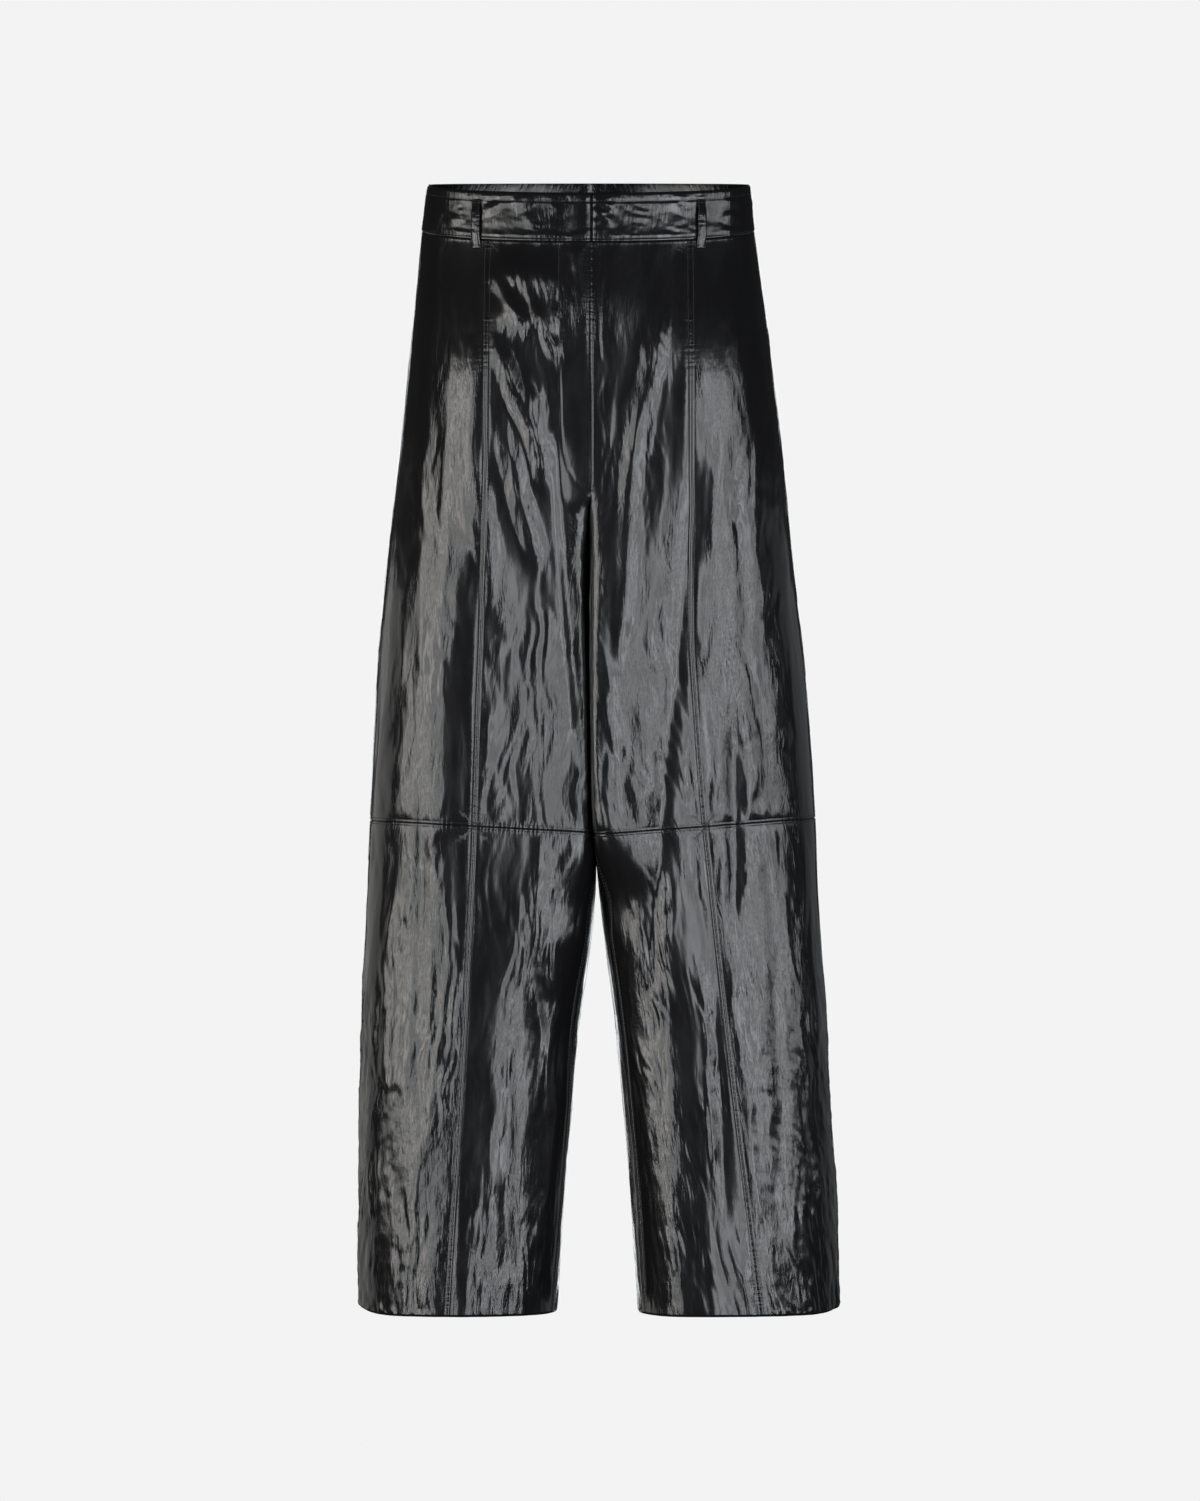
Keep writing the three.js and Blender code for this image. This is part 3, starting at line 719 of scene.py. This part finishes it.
# The waistband: two layers of the same leather, cut in two halves that meet at the centre back. The right
# half laps over the left at the centre front. Both long edges are topstitched, which puckers the band.
BAND_WALL = 2.8
BAND_PROUD = 0.6
BAND_STITCH_BELOW_TOP = 8
BAND_STITCH_ABOVE_SEAM = 2.6
BAND_ENDS = {"right": -1.5, "left": 1.6}
BAND_SEED = 700
BAND_LAP = 20
BAND_LAP_RAISE = 1.6
BAND_BACK_SHIFT = 0.18
BAND_COLUMNS = 150
BAND_LEVELS = np.concatenate([[43, 42.6, 42], np.linspace(41, 2.2, 36), [1.6, 1.1, 0.6, 0.15]])
BAND_LEATHER = leather("waistband_leather", crease_depth=1.0, roughness=0.18)


def crinkle(along, z, seed):
    """The waistband's puckers: short swellings across it, stronger between the stitch rows and the edges."""
    u = along + 3 * ripple(along / 15, z / 9, seed)
    broad = 1.5 * creased(u / 24, (z + 0.2 * along) / 13, seed + 1)
    short = 0.5 * creased(u / 8, (z - 0.3 * along) / 6, seed + 2)
    pulled = smoothstep(z, BAND_TOP - BAND_STITCH_BELOW_TOP - 3, BAND_TOP - BAND_STITCH_BELOW_TOP + 1)
    pulled = pulled + smoothstep(-z, -9, -4)
    patches = 0.15 + 0.85 * smoothstep(ripple(along / 26, z / 30, seed + 3), -0.1, 0.5)
    return patches * (broad + short) + 0.28 * pulled * creased(u / 3.4, z / 12, seed + 4)


bands = {}
for side in SIDES:
    z_rows = BAND_LEVELS[:, None]
    sweep = np.repeat(mix(-np.pi, np.pi, MEASURING_SHARES)[None, :], len(BAND_LEVELS), axis=0)
    lengths = lengths_round(side, sweep, z_rows + np.zeros_like(sweep))
    places = []
    for row in lengths:
        places.append(np.linspace(BAND_ENDS[side], row[-1] - HALF_GAP, BAND_COLUMNS))
    along = np.array(places)
    angle = np.array([np.interp(a, row, s) for a, row, s in zip(along, lengths, sweep)])
    z = z_rows + np.zeros_like(angle)
    beyond = np.minimum(along, 0) - BAND_BACK_SHIFT * smoothstep(along - along[:, -1:], -4, 0)
    beyond = beyond * SIDES[side]
    from_end = np.minimum(along - along[:, :1], along[:, -1:] - along)
    relief = crinkle(along, z, BAND_SEED + SIDES[side]) * smoothstep(np.minimum(BAND_TOP - z, from_end), 0, 5)
    relief *= smoothstep(z, -2, 5)
    relief -= 1.1 * np.exp(-(((BAND_TOP - z) / 0.9) ** 2)) + 0.5 * np.exp(-((z / 0.7) ** 2))
    relief -= 0.35 * np.exp(-(((BAND_TOP - BAND_STITCH_BELOW_TOP - z) / 0.9) ** 2))
    relief -= 0.35 * np.exp(-(((z - BAND_STITCH_ABOVE_SEAM) / 0.9) ** 2))
    raised = BAND_LAP_RAISE * np.exp(-((from_end / BAND_LAP) ** 4)) * (along < 60) if side == "right" else 0
    relief -= 0.9 * np.exp(-((from_end / 0.8) ** 2))
    outside = on_skin(side, angle, z, BAND_PROUD + relief + raised)
    inside = on_skin(side, angle, z, BAND_PROUD - BAND_WALL + raised)
    outside[..., 0] += beyond
    inside[..., 0] += beyond
    bands[side] = {"outside": outside, "inside": inside, "along": along, "z": z}
    turn = -1 if side == "right" else 1
    away = np.minimum(np.minimum(BAND_TOP - z, z), from_end)
    piece = shell(
        f"waistband_leather_{side}",
        outside[:, ::turn],
        inside[:, ::turn],
        np.stack([along + 4000, z], axis=-1)[:, ::turn],
        {"seam_away": (away * MM)[:, ::turn], "seam_along": (along * MM)[:, ::turn], "crush": 0.5 + 0 * away},
        [BAND_LEATHER],
    )
    width, tall = along[0, -1] - along[0, 0], BAND_TOP
    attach(piece, "root")
    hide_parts(f"waistband_{side}")


def spot(face, x, z, height):
    """Points of the skin's front (-1) or back (1) by distance from the centre line, moved out."""
    side = "right" if np.mean(x) < 0 else "left"
    angle = front_angle(side, z, np.abs(x)) * -face
    return on_skin(side, angle, z, height)


# The underlap: one layer of leather behind the lapped end of the waistband, which the hook is sewn to.
UNDERLAP_RIGHT = 32
UNDERLAP_LEFT = 24
z = np.linspace(BAND_TOP, 0.2, 16)[:, None]
halves = []
for x in (np.linspace(-UNDERLAP_RIGHT, -0.8, 18), np.linspace(0.8, UNDERLAP_LEFT, 14)):
    x = x[None, :] + 0 * z
    buckle = 0.15 * ripple(x / 12, z / 15, 811)
    under = BAND_PROUD - BAND_WALL - 0.5 + buckle
    rows = z + 0 * x
    halves.append((spot(-1, x, rows, under), spot(-1, x, rows, under - WALL), x, rows))
outside, inside, x, rows = (np.concatenate(part, axis=1) for part in zip(*halves))
attributes = {"seam_away": np.full_like(x, 0.05), "seam_along": x * MM, "crush": np.full_like(x, 0.5)}
flat_places = np.stack([x + 5000, rows], axis=-1)
underlap = shell("waistband_underlap_leather", outside, inside, flat_places, attributes, [BAND_LEATHER])
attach(underlap, "root")
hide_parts("waistband_underlap")

# Five belt loops: narrow folded strips of the same leather with a row of stitches along each edge. Both
# ends are tacked down, the lower one below the waistband, and the strip bows out between them.
LOOP_WIDTH = 8.5
LOOP_WALL = 1.8
LOOP_STAND = 2.4
LOOP_BELOW_TOP = 8
LOOP_BELOW_SEAM = 9
LOOP_SEAT = 1.3
LOOP_STITCH = 2.9
LOOPS = {
    "front_right": (-1, -105),
    "front_left": (-1, 103),
    "back_right": (1, -82),
    "back_centre": (1, 0.6),
    "back_left": (1, 82),
}
loops = {}
for order, (name, (face, x)) in enumerate(LOOPS.items()):
    t = np.linspace(0, 1, 57)
    z = mix(BAND_TOP - LOOP_BELOW_TOP, -LOOP_BELOW_SEAM, t)
    foot, ahead = spot(face, np.full_like(z, x), z, 0), spot(face, np.full_like(z, x), z, 1)
    out = ahead - foot
    out /= np.linalg.norm(out, axis=1, keepdims=True)
    width = np.stack([-out[:, 1], out[:, 0], 0 * z], axis=1)
    seat = LOOP_SEAT + BAND_PROUD * smoothstep(z, -6, 0)
    bow = 1 + 0.12 * ripple(t * 3, t * 0 + order, 821)
    stand = seat + LOOP_STAND * bow * smoothstep(np.minimum(t, 1 - t), 0.04, 0.32)
    w = LOOP_WIDTH / 2 * np.sin(np.linspace(-np.pi / 2, np.pi / 2, 15))[None, :]
    sway = 0.35 * ripple(t * 2, t * 0 + order + 7, 822)[:, None]
    crown = LOOP_WALL * (1 - 0.75 * np.abs(w / (LOOP_WIDTH / 2)) ** 5)
    crown = crown - 0.28 * np.exp(-(((np.abs(w) - LOOP_STITCH) / 0.5) ** 2))
    crown = crown + 0.25 * ripple(w / 3 + 0 * t[:, None], 9 * t[:, None] + 0 * w, 823 + order)
    crown = crown * (0.55 + 0.45 * smoothstep(np.minimum(t, 1 - t), 0, 0.05))[:, None]
    centre = foot[:, None] + width[:, None] * (w + sway)[..., None]
    outside = centre + out[:, None] * (stand[:, None] + crown)[..., None]
    inside = centre + out[:, None] * stand[:, None, None]
    along, across = LOOP_WIDTH * 6 * t[:, None] + 0 * w, w + 0 * t[:, None]
    edge_away = (LOOP_WIDTH / 2 - np.abs(across)) * MM
    attributes = {"seam_away": edge_away, "seam_along": along * MM, "crush": 0.4 + 0 * along}
    flat_places = np.stack([across + 6000 + 40 * order, along], axis=-1)
    piece = shell(f"belt_loop_leather_{name}", outside, inside, flat_places, attributes, [BAND_LEATHER])
    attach(piece, "root")
    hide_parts(f"belt_loop_{name}")
    loops[name] = {"outside": outside, "out": out}

# The stitching: rows of thick dark polyester thread, about three stitches to the centimetre, set in the
# dip that they pull in the leather. Bar tacks hold the ends of the belt loops.
THREAD = bpy.data.materials.new("thread")
THREAD.use_nodes = True
thread_shader = THREAD.node_tree.nodes["Principled BSDF"]
thread_shader.inputs["Base Color"].default_value = (0.011, 0.011, 0.0125, 1)
thread_shader.inputs["Roughness"].default_value = 0.42


def stitching_tree():
    """Geometry nodes that lay one rounded stitch at each pitch along every edge path of a mesh."""
    tree = bpy.data.node_groups.new("stitching", "GeometryNodeTree")
    tree.interface.new_socket("Geometry", in_out="INPUT", socket_type="NodeSocketGeometry")
    for name in ("Pitch", "Length", "Thickness"):
        tree.interface.new_socket(name, in_out="INPUT", socket_type="NodeSocketFloat")
    tree.interface.new_socket("Geometry", in_out="OUTPUT", socket_type="NodeSocketGeometry")
    nodes, links = tree.nodes, tree.links
    given, made = nodes.new("NodeGroupInput"), nodes.new("NodeGroupOutput")
    path = nodes.new("GeometryNodeMeshToCurve")
    links.new(given.outputs["Geometry"], path.inputs["Mesh"])
    places = nodes.new("GeometryNodeResampleCurve")
    places.mode = "LENGTH"
    links.new(path.outputs["Curve"], places.inputs["Curve"])
    links.new(given.outputs["Pitch"], places.inputs["Length"])
    stitch = nodes.new("GeometryNodeMeshUVSphere")
    stitch.inputs["Segments"].default_value = 6
    stitch.inputs["Rings"].default_value = 4
    stitch.inputs["Radius"].default_value = 0.5
    smooth = nodes.new("GeometryNodeSetShadeSmooth")
    links.new(stitch.outputs["Mesh"], smooth.inputs["Geometry"])
    out = nodes.new("GeometryNodeInputNamedAttribute")
    out.data_type = "FLOAT_VECTOR"
    out.inputs["Name"].default_value = "out"
    tangent = nodes.new("GeometryNodeInputTangent")
    turn = nodes.new("FunctionNodeAxesToRotation")
    turn.primary_axis = "Z"
    turn.secondary_axis = "X"
    links.new(out.outputs["Attribute"], turn.inputs["Primary Axis"])
    links.new(tangent.outputs["Tangent"], turn.inputs["Secondary Axis"])
    size = nodes.new("ShaderNodeCombineXYZ")
    links.new(given.outputs["Length"], size.inputs["X"])
    links.new(given.outputs["Thickness"], size.inputs["Y"])
    links.new(given.outputs["Thickness"], size.inputs["Z"])
    lay = nodes.new("GeometryNodeInstanceOnPoints")
    links.new(places.outputs["Curve"], lay.inputs["Points"])
    links.new(smooth.outputs["Geometry"], lay.inputs["Instance"])
    links.new(turn.outputs["Rotation"], lay.inputs["Rotation"])
    links.new(size.outputs["Vector"], lay.inputs["Scale"])
    real = nodes.new("GeometryNodeRealizeInstances")
    links.new(lay.outputs["Instances"], real.inputs["Geometry"])
    dress = nodes.new("GeometryNodeSetMaterial")
    dress.inputs["Material"].default_value = THREAD
    links.new(real.outputs["Geometry"], dress.inputs["Geometry"])
    links.new(dress.outputs["Geometry"], made.inputs["Geometry"])
    return tree


STITCHING = stitching_tree()
INPUTS = {item.name: item.identifier for item in STITCHING.interface.items_tree if item.in_out == "INPUT"}


def sew(name, rows, pitch=3.1, length=2.5, thickness=0.62, proud=0.12):
    """Stitches along rows of points in millimetres, each with the way out of the leather at it."""
    points, outs, edges = [], [], []
    for path, out in rows:
        edges += [(len(points) + k, len(points) + k + 1) for k in range(len(path) - 1)]
        out = out / np.linalg.norm(out, axis=1, keepdims=True)
        points += list((path + out * proud) * MM)
        outs += list(out)
    mesh = bpy.data.meshes.new(name)
    mesh.from_pydata(points, edges, [])
    attribute = mesh.attributes.new("out", "FLOAT_VECTOR", "POINT")
    attribute.data.foreach_set("vector", np.array(outs, np.float32).ravel())
    piece = bpy.data.objects.new(name, mesh)
    bpy.context.scene.collection.objects.link(piece)
    modifier = piece.modifiers.new("stitches", "NODES")
    modifier.node_group = STITCHING
    modifier[INPUTS["Pitch"]] = pitch * MM
    modifier[INPUTS["Length"]] = length * MM
    modifier[INPUTS["Thickness"]] = thickness * MM
    made = bpy.data.meshes.new_from_object(piece.evaluated_get(bpy.context.evaluated_depsgraph_get()))
    piece.modifiers.clear()
    piece.data = made
    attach(piece, "root")


def column_path(node, column, top=WAIST, bottom=HEM):
    """The points down one column of a panel's grid between two levels, and the way out at each."""
    panel = panels[node]
    rows = (panel["levels"] < top - 2) & (panel["levels"] > bottom + 2)
    outside, inside = panel["outside"][rows, column], panel["inside"][rows, column]
    return outside, outside - inside


for side in SIDES:
    seams = []
    for length in LENGTHS:
        seams.append(column_path(f"{side}_front_centre_{length}", -1 - STITCH_ROW))
        seams.append(column_path(f"{side}_front_side_{length}", STITCH_ROW))
    sew(f"panel_seam_stitches_{side}", seams)
    inner = [column_path(f"{side}_front_centre_{length}", STITCH_ROW, top=CROTCH) for length in LENGTHS]
    inner += [column_path(f"{side}_back_{length}", -1 - STITCH_ROW, top=CROTCH) for length in LENGTHS]
    inner.append(column_path(f"{side}_back_upper", -1 - STITCH_ROW, bottom=CROTCH))
    sew(f"inseam_and_seat_stitches_{side}", inner)
    knee = []
    for cut in CUTS:
        for length, row in (("upper", -1 - STITCH_ROW), ("lower", STITCH_ROW)):
            panel = panels[f"{side}_{cut}_{length}"]
            outside, inside = panel["outside"][row, 2:-2], panel["inside"][row, 2:-2]
            knee.append((outside, outside - inside))
    sew(f"knee_stitches_{side}", knee)
    band = bands[side]
    rows = []
    for level in (BAND_TOP - BAND_STITCH_BELOW_TOP, BAND_STITCH_ABOVE_SEAM):
        row = np.argmin(np.abs(BAND_LEVELS - level))
        outside, inside = band["outside"][row, 1:-1], band["inside"][row, 1:-1]
        rows.append((outside, outside - inside))
    sew(f"waistband_stitches_{side}", rows)

fly_panel = panels["right_front_centre_upper"]
t = np.linspace(0, 1, 200) * (len(FLY_STITCH["z"]) - 1)
knots = np.arange(len(FLY_STITCH["z"]))
from_edge, z = np.interp(t, knots, FLY_STITCH["from_edge"]), np.interp(t, knots, FLY_STITCH["z"])


def on_fly(face, from_edge, z):
    """The point of the right front's outer or inner face at a distance from its centre edge and a level."""
    row = np.interp(-z, -fly_panel["levels"], np.arange(len(fly_panel["levels"])))
    below = int(row)
    ends = []
    for k in (below, below + 1):
        ends.append([np.interp(from_edge, fly_panel["from_start"][k], fly_panel[face][k, :, c]) for c in range(3)])
    return mix(np.array(ends[0]), np.array(ends[1]), row - below)


outside = np.array([on_fly("outside", *place) for place in zip(from_edge, z)])
inside = np.array([on_fly("inside", *place) for place in zip(from_edge, z)])
sew("fly_stitches", [(outside, outside - inside)])

loop_rows, tacks = [], []
for loop in loops.values():
    out = loop["out"]
    for column in (3, 11):
        loop_rows.append((loop["outside"][2:-2, column], out[2:-2]))
    for row in (2, 4, -5, -3):
        tacks.append((loop["outside"][row, 2:-2], np.repeat(out[row][None], 11, axis=0)))
sew("belt_loop_stitches", loop_rows, pitch=2.4, length=1.9, thickness=0.5)
sew("belt_loop_bar_tacks", tacks, pitch=0.8, length=0.9, thickness=0.6)

# A pale sweep of paper behind and under the trousers, tall soft lamps on both sides, and the camera.
PAPER = bpy.data.materials.new("paper")
PAPER.use_nodes = True
paper_shader = PAPER.node_tree.nodes["Principled BSDF"]
paper_shader.inputs["Base Color"].default_value = (0, 0, 0, 1)
paper_shader.inputs["Specular IOR Level"].default_value = 0
paper_shader.inputs["Emission Color"].default_value = (0.896, 0.896, 0.896, 1)
paper_shader.inputs["Emission Strength"].default_value = 1
FLOOR = -1.35
SWEEP = [(-30, FLOOR), (14, FLOOR), (17, FLOOR + 0.9), (18, FLOOR + 3), (18, 16)]
paper_mesh = bpy.data.meshes.new("paper_sweep")
paper_mesh.from_pydata(
    [(x, y, z) for y, z in SWEEP for x in (-25, 25)],
    [],
    [(2 * k, 2 * k + 1, 2 * k + 3, 2 * k + 2) for k in range(len(SWEEP) - 1)],
)
paper_mesh.materials.append(PAPER)
paper = bpy.data.objects.new("paper_sweep", paper_mesh)
bpy.context.scene.collection.objects.link(paper)
paper.visible_glossy = False
paper.visible_diffuse = False
paper.visible_shadow = False


def softbox(name, direction, distance, wide, low, high, radiance, warmth):
    """A tall lamp that faces the trousers. Direction is in degrees from the front, to the right."""
    lamp = bpy.data.lights.new(name, "AREA")
    lamp.shape = "RECTANGLE"
    lamp.size = wide
    lamp.size_y = high - low
    lamp.energy = radiance * math.pi * wide * (high - low)
    lamp.color = warmth
    piece = bpy.data.objects.new(name, lamp)
    turn = math.radians(direction)
    piece.location = (distance * math.sin(turn), -distance * math.cos(turn), (low + high) / 2)
    piece.rotation_euler = (math.radians(90), 0, turn)
    piece.visible_camera = False
    bpy.context.scene.collection.objects.link(piece)


WARM = (1, 0.985, 0.955)
COOL = (0.93, 0.965, 1)
LAMPS = {
    "left_inner": (-22.5, 7, -1.5, 3.8, COOL),
    "left_first": (-32.5, 11, -1.5, 2, WARM),
    "left_second": (-42, 8, -1.5, 5.6, WARM),
    "left_third": (-51, 10, -1.15, 1.5, WARM),
    "left_fourth": (-60, 8, -1.05, 4.6, WARM),
    "left_outer": (-70, 12, -1, 1.8, WARM),
    "right_inner": (13, 7, -1.5, 4.2, COOL),
    "right_first": (21.5, 10, -1.5, 1.8, COOL),
    "right_second": (30.5, 8, -1.5, 5.6, COOL),
    "right_third": (39.5, 10, -1.1, 1.6, COOL),
    "right_fourth": (48.5, 8, -0.95, 4.8, COOL),
    "right_fifth": (57.5, 10, -0.85, 1.4, COOL),
    "right_outer": (67.5, 10, -0.85, 3, COOL),
    "back_left": (-167, 7, -1.5, 2, COOL),
    "back_right": (168, 7, -1.5, 2.2, COOL),
}
for name, (direction, turn, low, radiance, warmth) in LAMPS.items():
    softbox(name, direction, 2.2, 4.4 * math.tan(math.radians(turn / 2)), low, 0.75, radiance, warmth)
softbox("left_back_lamp", -122, 2.2, 1.9, -1.5, -0.1, 0.5, WARM)
softbox("right_back_lamp", 122, 2.2, 1.9, -1.5, -0.1, 0.2, COOL)
world = bpy.data.worlds.new("studio")
world.use_nodes = True
world.node_tree.nodes["Background"].inputs["Color"].default_value = (0.02, 0.02, 0.021, 1)
bpy.context.scene.world = world
bpy.context.scene.view_settings.view_transform = "Standard"

camera_data = bpy.data.cameras.new("camera")
camera_data.sensor_fit = "VERTICAL"
camera_data.sensor_height = 24
camera_data.lens = 102
camera = bpy.data.objects.new("camera", camera_data)
camera.location = (0.0094, -6, -0.4893)
camera.rotation_euler = (math.radians(90), 0, 0)
bpy.context.scene.collection.objects.link(camera)
bpy.context.scene.camera = camera
